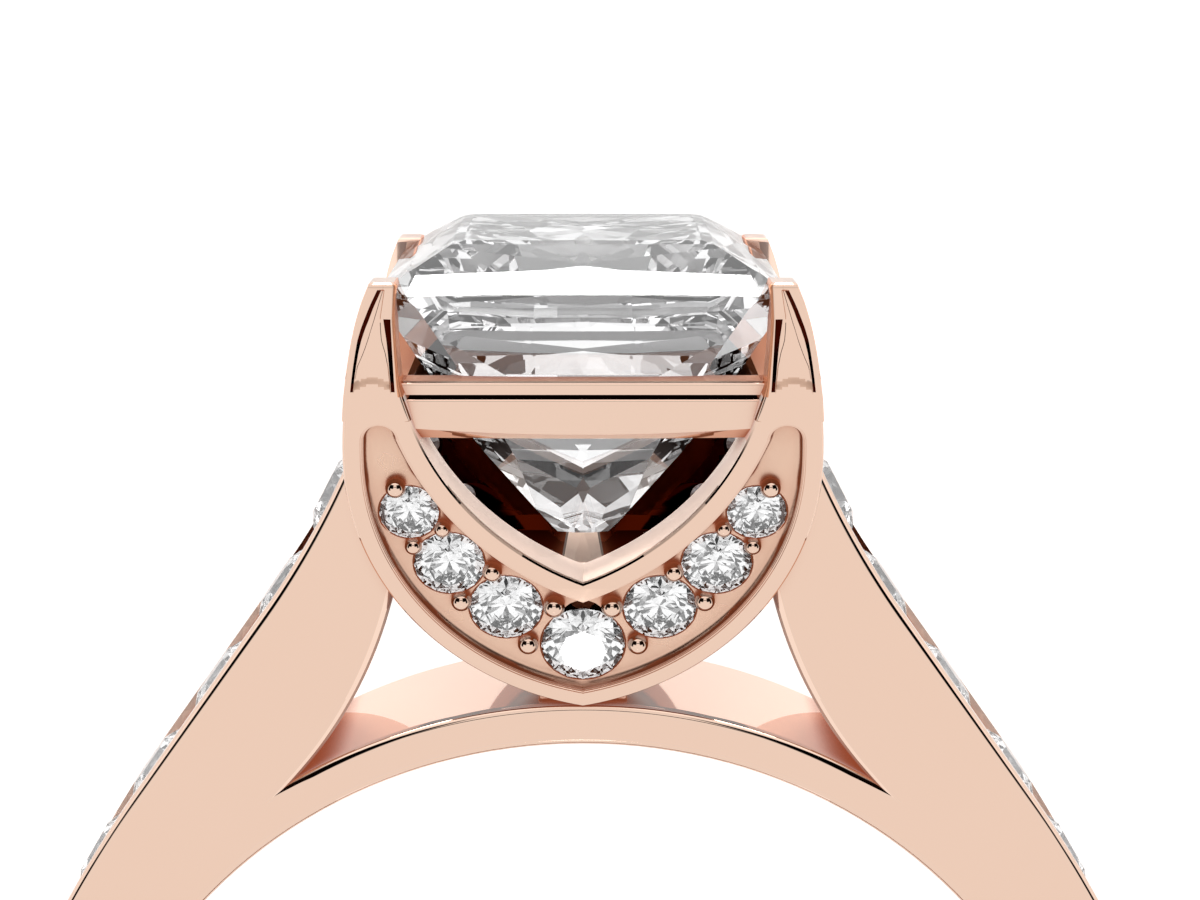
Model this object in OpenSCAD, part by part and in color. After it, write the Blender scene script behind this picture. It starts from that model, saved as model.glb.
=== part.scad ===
// Cathedral engagement ring with a square diamond on four corner prongs.
// Two leaning crescent panels carry graduated round diamonds, front and back,
// and each shoulder has a row of round diamonds in a shallow channel.
//
// The ring is drawn upright first: x across the finger, y along the finger
// with the front at -y, z towards the large diamond, and the middle of the
// finger hole at the origin. lay_down() then turns it onto its back, where it
// rests on the two back prongs and the low edge of the band, with the origin
// on the surface below the middle of its box.

/* [Band] */
// Inside diameter of the band
bore_d = 16.9; // [16.3:0.1:17.7]
// Width of the band along the finger
band_w = 3.16; // [3.0:0.02:3.3]
// Thickness of the band below the shoulders
band_t = 1.72; // [1.6:0.02:1.9]
// Thickness of the bridge below the large diamond
bridge_t = 0.71; // [0.65:0.01:0.8]
// Chamfer on the outer edges of the band
edge_chamfer = 0.1; // [0.06:0.01:0.12]

/* [Shoulders] */
// Angle from the top at which a shoulder leaves the round band
shoulder_angle = 64.8; // [64.6:0.1:65]
// Radius of the shoulder's outward curve, next to the band
low_curve_r = 21.06; // [20.8:0.02:21.3]
// Length of the straight stretch between the two curves
straight = 3.80; // [3.7:0.05:3.9]
// Way that the straight stretch faces, as an angle from the top
straight_angle = 54.6; // [54.4:0.1:54.8]
// Radius of the shoulder's inward curve, next to the head
high_curve_r = 14.34; // [14:0.1:14.7]
// Height of the shoulder tops above the middle of the finger hole
shoulder_top = 13.25; // [13.2:0.05:13.3]
// Distance from the middle to the inner face of a shoulder beside the head
shoulder_inside = 2.95; // [2.9:0.01:2.98]
// Width of the plain rail on each side of the stone channel
rail_w = 0.32; // [0.28:0.02:0.36]
// Depth of the stone channel
channel_depth = 0.14; // [0.12:0.01:0.16]
// Diameter of a shoulder diamond
shoulder_stone_d = 1.65; // [1.5:0.05:1.66]

/* [Crescent panels] */
// Angle by which a panel leans out from the bridge
lean = 17; // [16.5:0.1:17.5]
// Thickness of a panel
panel_t = 0.65; // [0.6:0.01:0.7]
// Depth of the recess that the round diamonds sit in
recess_depth = 0.2; // [0.16:0.01:0.22]
// Radius of the outer outline
outline_r = 4.52; // [4.5:0.01:4.54]
// Radius of the pointed window
window_r = 4.58; // [4.56:0.01:4.6]
// Width of the rim outside the recess
outer_rim = 0.32; // [0.3:0.01:0.34]
// Width of the rim inside the recess
inner_rim = 0.34; // [0.32:0.01:0.36]

/* [Head] */
// Height of the prong tips above the middle of the finger hole
prong_top = 16.18; // [16.16:0.01:16.22]
// Distance from the middle to the inner side of a prong
prong_inside = 2.62; // [2.6:0.01:2.66]
// Height of the gallery rails
gallery_h = 0.88; // [0.8:0.02:0.9]
// Depth of the groove below the lip of a gallery rail
gallery_groove = 0.06; // [0.04:0.01:0.08]

/* [Large diamond] */
// Side of the large diamond
centre_size = 6.08; // [6.04:0.01:6.1]
// Height of the large diamond from culet to table
centre_h = 4.93; // [4.9:0.01:4.95]
// Gap between each diamond and the metal that holds it
seat_gap = 0.025; // [0.02:0.005:0.03]

/* [Hidden] */
band_r = bore_d/2 + band_t;
bridge_r = bore_d/2 + bridge_t;
cut = 30; // reach of the blocks that trim other shapes
metal = [0.93, 0.70, 0.60];
diamond = [0.90, 0.94, 0.97, 0.75];

// A panel's face starts at the front edge of the bridge and leans outwards.
foot_y = band_w/2 - 0.01;
foot_z = bridge_r - 0.03;

// Two circles, set either side of the middle, cross to give each pointed outline.
outline_side = 0.89;
outline_up = 4.40;
window_side = 1.82;
window_up = 6.52;
upper_outline_r = 7.5;
upper_side = upper_outline_r - outline_r + outline_side;
plate_top = 5.45;

// The prongs bend back towards the stone at this distance up a panel's face.
bend_up = 5.57;
bend_z = foot_z + bend_up*cos(lean);
head_y = foot_y + bend_up*sin(lean);
gallery_z = foot_z + 4.67;
gallery_y = 2.95;
gallery_x = 3.22;
gallery_t = 0.56;
girdle_z = prong_top - 0.18;
prong_bend_r = 10;
flute_depth = 0.08;
bead_rise = 0.07;

// The large diamond is measured from the top of its girdle.
centre_half = centre_size/2;
centre_corner = 0.45;
centre_girdle = 0.15;
centre_table_z = 0.66;
centre_table_half = 1.93;
culet_z = centre_table_z - centre_h;

// Facets below the girdle, one row a tier: slope from level, turn of the facet
// from square, and distance from the middle where it meets the corner edge.
pavilion_tiers = [
    // slope, turn, reach
    [62.0, 2.5, 3.040],
    [57.5, 6.5, 2.500],
    [52.0, 11.0, 2.050],
    [47.0, 17.0, 1.500],
];
// Facets above the girdle: slope, turn, and distance from the middle at a height
crown_tiers = [
    // slope, turn, reach, height
    [37.0, 0.0, 3.040, 0.000],
    [33.0, 4.0, 3.221, 0.000],
    [24.8, 7.0, 2.450, 0.420],
];

// Round diamonds of a panel, the middle one and then one side going up
panel_stones = [
    // across, up the face, diameter
    [0.00, 1.067, 1.33],
    [1.21, 1.769, 1.15],
    [2.08, 2.586, 1.10],
    [2.67, 3.510, 0.92],
];
// Beads of one side of a panel
panel_beads = [
    // across, up the face, diameter
    [0.454, 1.815, 0.34],
    [0.870, 1.115, 0.33],
    [1.413, 2.465, 0.31],
    [1.909, 1.927, 0.32],
    [2.165, 3.248, 0.26],
    [2.622, 2.940, 0.27],
    [2.857, 3.978, 0.31],
];
// Shoulder diamonds, from the head down: distance along the shoulder from the
// lower end of its straight stretch, and depth of the girdle below the rails
shoulder_stones = [
    // distance, depth
    [5.74, 0.13],
    [3.94, 0.21],
    [1.99, 0.23],
    [0.07, 0.23],
    [-1.78, 0.23],
];
row_end = -3.06;

// Proportions of a round diamond, as parts of its diameter
brilliant_table = 0.57;
brilliant_crown = 0.15;
brilliant_girdle = 0.03;
brilliant_pavilion = 0.42;

// The ring lies on its back: its tilt, its lift and its shift along the floor
tilt = atan((head_y - band_w/2)/(bend_z + band_r - edge_chamfer));
lift = head_y*cos(tilt) - bend_z*sin(tilt);
low_end = band_r*cos(tilt) + (band_w/2 - edge_chamfer)*sin(tilt);
high_end = (girdle_z + centre_table_z)*cos(tilt) + centre_table_half*sin(tilt);
shift = (low_end - high_end)/2;

module lay_down() {
    translate([0, shift, lift]) rotate([tilt - 90, 0, 0]) children();
}

// The shoulder's outer curve is an arc, a straight stretch and an arc the other
// way. facing(a) points away from the finger at angle a from the top.
function facing(a) = [sin(a), cos(a)];
low_centre = (band_r - low_curve_r)*facing(shoulder_angle);
low_joint = low_centre + low_curve_r*facing(straight_angle);
high_joint = low_joint - straight*facing(straight_angle + 90);
high_centre = high_joint + high_curve_r*facing(straight_angle);

// Way that the shoulder faces, and the point on it, at distance s from low_joint
function slope_at(s) = s < 0 ? straight_angle - s/low_curve_r*180/PI
    : s < straight ? straight_angle
    : straight_angle + (s - straight)/high_curve_r*180/PI;
function point_at(s) = s < 0 ? low_centre + low_curve_r*facing(slope_at(s))
    : s < straight ? low_joint - s*facing(straight_angle + 90)
    : high_centre - high_curve_r*facing(slope_at(s));

module both_sides() {
    children();
    mirror([1, 0, 0]) children();
}

module front_and_back() {
    children();
    mirror([0, 1, 0]) children();
}

// Draws a flat shape in the upright plane of the ring, w wide along the finger.
module across_finger(w) {
    rotate([90, 0, 0]) linear_extrude(w, center = true) children();
}

// Area where two equal circles overlap, which is pointed at its foot
module pointed(side, up, r) {
    intersection() {
        translate([side, up]) circle(r, $fn = 180);
        translate([-side, up]) circle(r, $fn = 180);
    }
}

// Places children on the front panel: x across, y up the face, z out of it.
module on_panel() {
    translate([0, -foot_y, foot_z]) rotate([90 + lean, 0, 0]) children();
}

// Distances at which the curve is drawn, for the shoulder and for its channel
curve_start = (straight_angle - shoulder_angle)*low_curve_r*PI/180;
curve_end = straight + (acos((high_centre[1] - shoulder_top)/high_curve_r) - straight_angle)
    *high_curve_r*PI/180;
curve_steps = 8;
curve_places = concat([for (i = [0:curve_steps]) curve_start*(1 - i/curve_steps)],
    [for (i = [0:curve_steps]) straight + (curve_end - straight)*i/curve_steps]);
channel_places = concat([row_end], [for (s = curve_places) if (s > row_end + 0.1) s],
    [curve_end + 0.3]);

// Places children on a shoulder: z out of its surface.
module on_shoulder(s, depth) {
    p = point_at(s) - depth*facing(slope_at(s));
    translate([p[0], 0, p[1]]) rotate([0, slope_at(s), 0]) children();
}

// Side view of the band with both shoulders
module band_outline() {
    circle(band_r, $fn = 240);
    both_sides() polygon(concat([(band_r - 0.03)*facing(shoulder_angle + 3)],
        [for (s = curve_places) point_at(s)],
        [[shoulder_inside - 1, shoulder_top], [shoulder_inside - 1, 0]]));
}

// Points of the outer rim, from the right shoulder round below the finger to
// the left shoulder, each with the way that it faces
rim_steps = 64;
right_rim = [for (i = [len(curve_places) - 1:-1:0])
    let (s = curve_places[i] + (i > curve_steps*2 ? 0.3 : 0)) [point_at(s), slope_at(s)]];
rim = concat(right_rim,
    [for (i = [1:rim_steps - 1]) let (a = shoulder_angle + i*(360 - 2*shoulder_angle)/rim_steps)
        [band_r*facing(a), a]],
    [for (i = [len(right_rim) - 1:-1:0]) [[-right_rim[i][0][0], right_rim[i][0][1]], -right_rim[i][1]]]);

// What the chamfer takes off the back edge, a three-sided bar along the rim
module chamfer_cut() {
    over = 0.05;
    c = edge_chamfer;
    bar = [[over, -c - over], [-c - over, over], [over, over]];
    points = [for (k = rim, b = bar) let (p = k[0] + b[0]*facing(k[1])) [p[0], band_w/2 + b[1], p[1]]];
    last = 3*(len(rim) - 1);
    strips = [for (k = [0:3:last - 3], e = [[0, 2], [2, 1], [1, 0]]) [k + e[0], k + e[1], k + 3]];
    polyhedron(points, concat([[2, 0, 1], [last, last + 2, last + 1]],
        [for (f = strips) [f[0], f[1], f[1] + 3]],
        [for (f = strips) [f[0], f[1] + 3, f[0] + 3]]));
}

// Open space between the shoulders, above the bridge
module head_space() {
    side_r = 7.31;
    side_x = 10.11;
    side_z = 12.72;
    difference() {
        polygon([[-shoulder_inside, cut], [-shoulder_inside, 10.7], [-5, 7.4],
            [5, 7.4], [shoulder_inside, 10.7], [shoulder_inside, cut]]);
        both_sides() translate([side_x, side_z]) circle(side_r, $fn = 240);
        both_sides() translate([shoulder_inside, 11.2]) square([3, cut]);
        circle(bridge_r, $fn = 240);
    }
}

// The band with both shoulders, and the shallow channel along each of them
module band() {
    difference() {
        across_finger(band_w) band_outline();
        front_and_back() chamfer_cut();
        across_finger(cut) head_space();
        both_sides() across_finger(band_w - 2*rail_w) polygon(concat(
            [for (s = channel_places) point_at(s) - channel_depth*facing(slope_at(s))],
            [for (i = [len(channel_places) - 1:-1:0]) let (s = channel_places[i])
                point_at(s) + facing(slope_at(s))]));
        rotate([90, 0, 0]) cylinder(h = cut, d = bore_d, center = true, $fn = 180);
    }
}

// Flat shape of a panel, with its outline drawn in by rim
module panel_outline(rim) {
    intersection() {
        pointed(outline_side, outline_up, outline_r - rim);
        translate([-cut/2, outline_up - cut]) square(cut);
    }
    intersection() {
        pointed(upper_side, outline_up, upper_outline_r - rim);
        translate([-cut/2, outline_up - 0.01]) square([cut, plate_top - outline_up + 0.01]);
    }
}

module window_outline(rim) {
    pointed(window_side, window_up, window_r + rim);
}

module recess_outline() {
    end_r = 0.262;
    end_at = [3.062, 4.86];
    difference() {
        panel_outline(outer_rim);
        window_outline(inner_rim);
        translate([-cut/2, end_at[1]]) square(cut);
    }
    both_sides() translate(end_at) circle(end_r, $fn = 48);
}

// The plate of a panel, the two prongs that rise from it and the beads
module panel() {
    difference() {
        union() {
            on_panel() translate([0, 0, -panel_t]) linear_extrude(panel_t) difference() {
                panel_outline(0);
                window_outline(0);
            }
            both_sides() prong();
        }
        on_panel() translate([0, 0, -recess_depth]) linear_extrude(1) recess_outline();
    }
    on_panel() both_sides() for (b = panel_beads)
        translate([b[0], b[1], bead_rise - recess_depth]) {
            sphere(d = b[2], $fn = 32);
            translate([0, 0, -0.2]) cylinder(h = 0.2, d = 0.75*b[2], $fn = 32);
        }
}

// One prong: its front outline crossed with its side outline, with a shallow
// flute in front that ends on an arch
module prong() {
    foot = foot_z + 4.2;
    inner_y = prong_inside - 0.12;
    difference() {
        intersection() {
            across_finger(cut) intersection() {
                translate([-upper_side, foot_z + outline_up*cos(lean) + 0.09])
                    circle(upper_outline_r + 0.02, $fn = 240);
                translate([prong_inside, foot]) square([3, prong_top - foot]);
            }
            side_view() intersection() {
                prong_side(0);
                translate([-cut, foot]) square([cut - inner_y, cut]);
            }
        }
        difference() {
            across_finger(cut) difference() {
                polygon([[2.77, bend_z], [3.44, bend_z], [3.04, prong_top - 0.12],
                    [2.89, prong_top - 0.12]]);
                translate([3.08, bend_z - 0.22]) circle(0.49, $fn = 48);
            }
            side_view() prong_side(flute_depth);
            translate([0, 0, -cut/2]) cube(2*cut, center = true);
        }
    }
}

// Extrudes a flat shape, drawn as seen from the side, across the whole ring.
module side_view() {
    translate([-cut/2, 0, 0]) rotate([90, 0, 90]) linear_extrude(cut) children();
}

// Front of a prong and all behind it, seen from the side: leaning with the
// panel, then bending back in towards the stone
module prong_side(inset) {
    polygon([[inset - foot_y, foot_z], [inset - head_y, bend_z], [cut, bend_z],
        [cut, foot_z]]);
    intersection() {
        translate([prong_bend_r - head_y, bend_z])
            circle(prong_bend_r - inset, $fn = 240);
        translate([-cut, bend_z]) square([2*cut, 3]);
    }
}

// Rail that joins two prongs, with a groove below its lip. The profile starts
// at the outer face and goes in towards the stone.
module gallery_rail(out) {
    long = 2*(prong_inside + 0.15);
    lip = gallery_h - 0.2;
    translate([-long/2, -out, gallery_z]) rotate([90, 0, 90]) linear_extrude(long)
        polygon([[0.1, 0], [0, 0.07], [0, lip - 0.11], [0.05, lip - 0.06],
            [0.05 + gallery_groove, lip - 0.06], [0.05 + gallery_groove, lip], [0.05, lip],
            [0.05, gallery_h - 0.04], [0.09, gallery_h], [gallery_t, gallery_h], [gallery_t, 0]]);
}

module gallery() {
    front_and_back() gallery_rail(gallery_y);
    both_sides() rotate([0, 0, 90]) gallery_rail(gallery_x);
}

// Hidden metal: blocks that join each shoulder to both panels, and the foot
// that joins the panels to the bridge
module head_links() {
    link_z = 12.15;
    both_sides() translate([shoulder_inside, -2.3, link_z])
        cube([0.42, 4.6, shoulder_top - link_z]);
    foot = 0.72;
    translate([-foot, -1.36, bridge_r - 0.2]) cube([2*foot, 2.72, 0.78]);
}

// Space of a round diamond and its gap. The cone above the girdle opens at
// rim_angle, so metal may lap over the crown or stand clear of it.
module round_seat(d, rim_angle) {
    r = d/2 + seat_gap;
    low = -brilliant_girdle*d/2 - seat_gap;
    deep = -brilliant_girdle*d/2 - brilliant_pavilion*d - 2*seat_gap;
    high = 1;
    rotate_extrude($fn = 64) polygon([[0, deep], [0.04*d, deep], [r, low], [r, 0.03*d],
        [r + high*tan(rim_angle), 0.03*d + high], [0, 0.03*d + high]]);
}

// As round_seat, but the metal above the girdle keeps clear of the crown only
module lapped_seat(d) {
    r = d/2 + seat_gap;
    low = -brilliant_girdle*d/2 - seat_gap;
    deep = -brilliant_girdle*d/2 - brilliant_pavilion*d - 2*seat_gap;
    top = brilliant_girdle*d/2 + seat_gap;
    high = top + brilliant_crown*d;
    rotate_extrude($fn = 64) polygon([[0, deep], [0.04*d, deep], [r, low], [r, top],
        [brilliant_table*d/2 + seat_gap, high], [0, high]]);
}

module panel_seats() {
    on_panel() both_sides() for (s = panel_stones)
        translate([s[0], s[1], -recess_depth]) {
            lapped_seat(s[2]);
            // open back, so that light reaches the diamond
            translate([0, 0, -1]) cylinder(h = 1, d = 0.42*s[2], $fn = 48);
        }
}

module shoulder_seats() {
    both_sides() for (s = shoulder_stones)
        on_shoulder(s[0], s[1]) round_seat(shoulder_stone_d, 20);
}

module ring_setting() color(metal) lay_down() {
    difference() {
        union() {
            band();
            gallery();
            head_links();
            front_and_back() panel();
        }
        front_and_back() panel_seats();
        shoulder_seats();
        translate([0, 0, girdle_z]) scale(1 + seat_gap/centre_half) centre_stone();
        rotate([90, 0, 0]) cylinder(h = cut, d = bore_d, center = true, $fn = 180);
    }
}

// Height at which the corner edge of the pavilion passes tier k
function square_height(slope, turn, reach, from, z) =
    z - (from - reach)*tan(slope)*(cos(turn) + sin(turn));
function tier_z(k) = k == 0 ? -centre_girdle
    : let (above = pavilion_tiers[k - 1])
        square_height(above[0], above[1], pavilion_tiers[k][2], above[2], tier_z(k - 1));

// Keeps what is inside a facet that passes through point p. slope is its angle
// from level, below the girdle if down is true, and az the way it faces.
module facet(az, slope, p, down) {
    n = [sin(slope)*cos(az), sin(slope)*sin(az), down ? -cos(slope) : cos(slope)];
    translate(n*(n*p)) rotate([0, down ? 90 - slope : slope - 90, az])
        translate([-cut, -cut/2, -cut/2]) cube(cut);
}

module centre_stone() {
    corner_reach = (2*centre_half - centre_corner)/sqrt(2);
    intersection() {
        translate([0, 0, (culet_z + centre_table_z)/2])
            cube([2*centre_half, 2*centre_half, centre_h], center = true);
        rotate([0, 0, 45]) cube([2*corner_reach, 2*corner_reach, cut], center = true);
        intersection_for(side = [0:90:270]) rotate([0, 0, side]) intersection() {
            intersection_for(turn = [-1, 1], k = [0:len(pavilion_tiers) - 1])
                let (row = pavilion_tiers[k])
                    facet(turn*row[1], row[0], [row[2], turn*row[2], tier_z(k)], true);
            intersection_for(turn = [-1, 1], row = crown_tiers)
                facet(turn*row[1], row[0], [row[2], 0, row[3]], false);
            rotate([0, 0, 45]) facet(0, 61, [corner_reach, 0, -centre_girdle], true);
            rotate([0, 0, 45]) facet(0, 36, [corner_reach, 0, 0], false);
        }
    }
}

// A round brilliant of diameter d: 8 main facets, 8 stars and 16 halves above
// the girdle, 8 mains and 16 halves below it. z = 0 is the middle of the girdle.
module brilliant(d) {
    r = d/2;
    g = brilliant_girdle*d/2;
    table_r = brilliant_table*r;
    table_z = g + brilliant_crown*d;
    star_r = 0.80*r;
    star_z = g + (table_z - g)*(r - star_r*cos(22.5))/(r - table_r);
    culet = -g - brilliant_pavilion*d;
    low_r = 0.24*r;
    low_z = culet + (-g - culet)*low_r*cos(22.5)/r;
    // rings of points: table 0, star 8, girdle top 16, girdle foot 32, pavilion 48, culet 56
    points = concat(
        [for (i = [0:7]) [table_r*cos(45*i), table_r*sin(45*i), table_z]],
        [for (i = [0:7]) [star_r*cos(45*i + 22.5), star_r*sin(45*i + 22.5), star_z]],
        [for (i = [0:15]) [r*cos(22.5*i), r*sin(22.5*i), g]],
        [for (i = [0:15]) [r*cos(22.5*i), r*sin(22.5*i), -g]],
        [for (i = [0:7]) [low_r*cos(45*i + 22.5), low_r*sin(45*i + 22.5), low_z]],
        [[0, 0, culet]]);
    faces = concat(
        [[7, 6, 5, 4, 3, 2, 1, 0]],
        [for (i = [0:7]) [i, (i + 1)%8, 8 + i]],
        [for (i = [0:7]) [i, 8 + i, 16 + 2*i, 8 + (i + 7)%8]],
        [for (i = [0:7]) [8 + i, 17 + 2*i, 16 + 2*i]],
        [for (i = [0:7]) [8 + i, 16 + (2*i + 2)%16, 17 + 2*i]],
        [for (i = [0:15]) [16 + i, 16 + (i + 1)%16, 32 + (i + 1)%16, 32 + i]],
        [for (i = [0:7]) [32 + 2*i, 33 + 2*i, 48 + i]],
        [for (i = [0:7]) [33 + 2*i, 32 + (2*i + 2)%16, 48 + i]],
        [for (i = [0:7]) [32 + 2*i, 48 + i, 56, 48 + (i + 7)%8]]);
    polyhedron(points, faces);
}

module centre_diamond() color(diamond) lay_down()
    translate([0, 0, girdle_z]) centre_stone();

// Panel diamonds are numbered from left to right, 1 to 7.
module panel_diamond(i) {
    row = panel_stones[abs(i - 4)];
    on_panel() translate([sign(i - 4)*row[0], row[1], -recess_depth]) brilliant(row[2]);
}

module front_diamond(i) color(diamond) lay_down() panel_diamond(i);

module back_diamond(i) color(diamond) lay_down() mirror([0, 1, 0]) panel_diamond(i);

// Shoulder diamonds are numbered from the head down, 1 to 5.
module right_diamond(i) color(diamond) lay_down()
    on_shoulder(shoulder_stones[i - 1][0], shoulder_stones[i - 1][1]) brilliant(shoulder_stone_d);

module left_diamond(i) color(diamond) lay_down() mirror([1, 0, 0])
    on_shoulder(shoulder_stones[i - 1][0], shoulder_stones[i - 1][1]) brilliant(shoulder_stone_d);

function numbered(name, count) = [for (i = [1:count]) str(name, "_", i)];
panel_count = 2*len(panel_stones) - 1;
shoulder_count = len(shoulder_stones);

ring_setting();
centre_diamond();
for (i = [1:panel_count]) front_diamond(i);
for (i = [1:panel_count]) back_diamond(i);
for (i = [1:shoulder_count]) left_diamond(i);
for (i = [1:shoulder_count]) right_diamond(i);
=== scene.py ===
"""Cathedral engagement ring, rose gold and diamonds, lying on its side.

The metal is modelled upright in millimetres, as the ring is worn: x across
the finger, y along it with the front at -y, z towards the large diamond, and
the middle of the finger hole at the origin. LAID then scales each finished
piece to metres and turns it onto its back, where the CAD model lies.
"""

import math

import bpy
from mathutils import Matrix, Vector


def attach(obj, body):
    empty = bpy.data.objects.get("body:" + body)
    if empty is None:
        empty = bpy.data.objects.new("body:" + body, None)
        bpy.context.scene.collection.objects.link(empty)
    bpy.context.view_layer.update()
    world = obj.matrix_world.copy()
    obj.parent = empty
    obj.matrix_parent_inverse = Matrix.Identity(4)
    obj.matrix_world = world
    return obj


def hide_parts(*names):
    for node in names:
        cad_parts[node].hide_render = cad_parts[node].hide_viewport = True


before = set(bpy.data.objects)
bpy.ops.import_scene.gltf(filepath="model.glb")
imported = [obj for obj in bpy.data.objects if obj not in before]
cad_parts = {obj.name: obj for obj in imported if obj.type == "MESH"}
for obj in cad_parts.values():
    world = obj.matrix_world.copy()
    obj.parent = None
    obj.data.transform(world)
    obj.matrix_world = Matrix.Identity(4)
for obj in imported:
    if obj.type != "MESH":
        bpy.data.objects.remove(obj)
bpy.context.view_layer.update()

# The laid pose, as the CAD model has it: degrees and millimetres
TILT = 3.77547
SHIFT = -3.25277
LIFT = 2.23965
LAID = (Matrix.Scale(0.001, 4) @ Matrix.Translation((0, SHIFT, LIFT))
        @ Matrix.Rotation(math.radians(TILT - 90), 4, "X"))

# Band
BORE_R = 8.45
BAND_R = 10.17
BRIDGE_R = 9.16
BAND_W = 3.16
BAND_EDGE = 0.15       # width of its chamfers and roundings
SHOULDER_ANGLE = 64.8
STRAIGHT_ANGLE = 54.6
LOW_CURVE_R = 21.06
HIGH_CURVE_R = 14.34
STRAIGHT = 3.80
SHOULDER_TOP = 13.25
SHOULDER_IN = 2.95
ARM_CENTRE = (10.11, 12.72)   # of the arc that ends a shoulder towards the head
ARM_R = 7.31
CHANNEL_W = 2.52
CHANNEL_DEEP = 0.14
CHANNEL_END = -3.06

# Crescent panels, drawn flat: x across and y up the face
LEAN = 17
FOOT_Y = 1.57
FOOT_Z = 9.13
PANEL_T = 0.65
PANEL_EDGE = 0.07
RECESS = 0.2
PANEL_CUT = 5.2        # height up the face where a prong takes over
# Circles that bound a panel: side, height and radius
OUTLINE = (0.89, 4.40, 4.52)
UPPER = (3.87, 4.40, 7.5)
WINDOW = (1.82, 6.52, 4.58)
OUTER_RIM = 0.32
INNER_RIM = 0.34
# Softened rim of the sunk floor, in steps: how much wider, and how deep
LIP_STEPS = [(0.010, 0.060), (0.025, 0.035), (0.050, 0.015)]
# Corners of the hole above the lowest diamond
POCKET = [(-0.40, 1.66), (0, 1.46), (0.40, 1.66), (0.20, 1.84), (0, 1.925), (-0.20, 1.84)]
POCKET_DEEP = 0.5
# Rib behind a panel: height up the face, half its width, and how far it stands out
RIB = [(0.2, 0.62, 0.80), (1.2, 0.42, 0.45), (2.0, 0.28, 0.15), (2.3, 0.20, 0.02)]

# Head
PRONG_TOP = 16.18
BEND_Z = FOOT_Z + 5.57 * math.cos(math.radians(LEAN))
HEAD_Y = FOOT_Y + 5.57 * math.sin(math.radians(LEAN))
BEND_R = 10
GALLERY_Z = 13.80
GALLERY_H = 0.88
GALLERY_T = 0.56
GALLERY_Y = 2.95
GALLERY_X = 3.22
GALLERY_LONG = 2 * 2.78

# Large diamond, measured from the top of its girdle
STONE_HALF = 3.04
STONE_CORNER = 0.45
STONE_GIRDLE = 0.15
STONE_TABLE_Z = 0.66
STONE_H = 4.93
GIRDLE_Z = PRONG_TOP - 0.18
# Below the girdle: slope, turn from square, and reach where a tier meets the corner edge
PAVILION_TIERS = [(62.0, 2.5, 3.040), (57.5, 6.5, 2.500), (52.0, 11.0, 2.050), (47.0, 17.0, 1.500)]
# Above it: slope, turn from square, and a point of the facet across and up
CROWN_FACET = (37, 0, STONE_HALF, 0)
UPPER_FACET = (33, 4, 3.221, 0)
STAR_FACET = (24.8, 1, 2.450, 0.42)
CORNER_SLOPES = (36, -61, -52)   # crown, upper pavilion, lower pavilion
LOW_CORNER = (1.45, 1.45, -2.55)   # a point of the lowest corner facet
# How deep the narrow facets between two others are cut
TRIMS = {"crown": 0.02, "upper": 0.03, "table": 0.02, "tier": 0.035, "middle": 0.03, "corner": 0.05}

# Round diamonds: place across, place up the face, diameter
PANEL_STONES = [(0.00, 1.067, 1.33), (1.21, 1.769, 1.15), (2.08, 2.586, 1.10), (2.67, 3.510, 0.92)]
PANEL_BEADS = [(0.454, 1.815, 0.34), (0.870, 1.115, 0.33), (1.413, 2.465, 0.31), (1.909, 1.927, 0.32),
               (2.165, 3.248, 0.26), (2.622, 2.940, 0.27), (2.857, 3.978, 0.31)]
BEAD_RISE = 0.07
# Distance up a shoulder, and depth of the girdle below it
SHOULDER_STONES = [(5.74, 0.13), (3.94, 0.21), (1.99, 0.23), (0.07, 0.23), (-1.78, 0.23)]
SHOULDER_STONE_D = 1.65
SEAT_GAP = 0.025
GIRDLE = 0.03
CROWN = 0.15
TABLE = 0.57
PAVILION = 0.42


# Tools

def select_none():
    bpy.ops.object.select_all(action="DESELECT")


def select_only(*objects):
    if bpy.context.object and bpy.context.object.mode != "OBJECT":
        bpy.ops.object.mode_set(mode="OBJECT")
    select_none()
    for item in objects:
        item.select_set(True)
    bpy.context.view_layer.objects.active = objects[0]


def edit(piece):
    select_only(piece)
    bpy.ops.object.mode_set(mode="EDIT")


def leave_edit():
    bpy.ops.object.mode_set(mode="OBJECT")


def weld(piece, distance=1e-4):
    """Merges doubles and turns the faces outwards."""
    edit(piece)
    bpy.ops.mesh.select_all(action="SELECT")
    bpy.ops.mesh.remove_doubles(threshold=distance)
    bpy.ops.mesh.normals_make_consistent(inside=False)
    leave_edit()
    return piece


def join(name, pieces):
    select_only(*pieces)
    if len(pieces) > 1:
        bpy.ops.object.join()
    joined = bpy.context.view_layer.objects.active
    joined.name = joined.data.name = name
    return joined


def put(piece, place):
    """Moves the mesh itself, so that the object stays at the origin."""
    bpy.context.view_layer.update()
    piece.data.transform(place @ piece.matrix_world)
    piece.matrix_world = Matrix.Identity(4)
    if place.determinant() < 0:
        piece.data.flip_normals()
    return piece


def copy_at(piece, place):
    twin = piece.copy()
    twin.data = piece.data.copy()
    bpy.context.collection.objects.link(twin)
    return put(twin, place)


def combine(piece, tool, operation):
    modifier = piece.modifiers.new(operation.lower(), "BOOLEAN")
    modifier.operation = operation
    modifier.solver = "EXACT"
    modifier.object = tool
    select_only(piece)
    bpy.ops.object.modifier_apply(modifier=modifier.name)
    bpy.data.objects.remove(tool)
    return piece


def bevel(piece, width, segments=2, angle=30):
    modifier = piece.modifiers.new("edges", "BEVEL")
    modifier.width = width
    modifier.segments = segments
    modifier.limit_method = "ANGLE"
    modifier.angle_limit = math.radians(angle)
    select_only(piece)
    bpy.ops.object.modifier_apply(modifier=modifier.name)
    return piece


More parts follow.
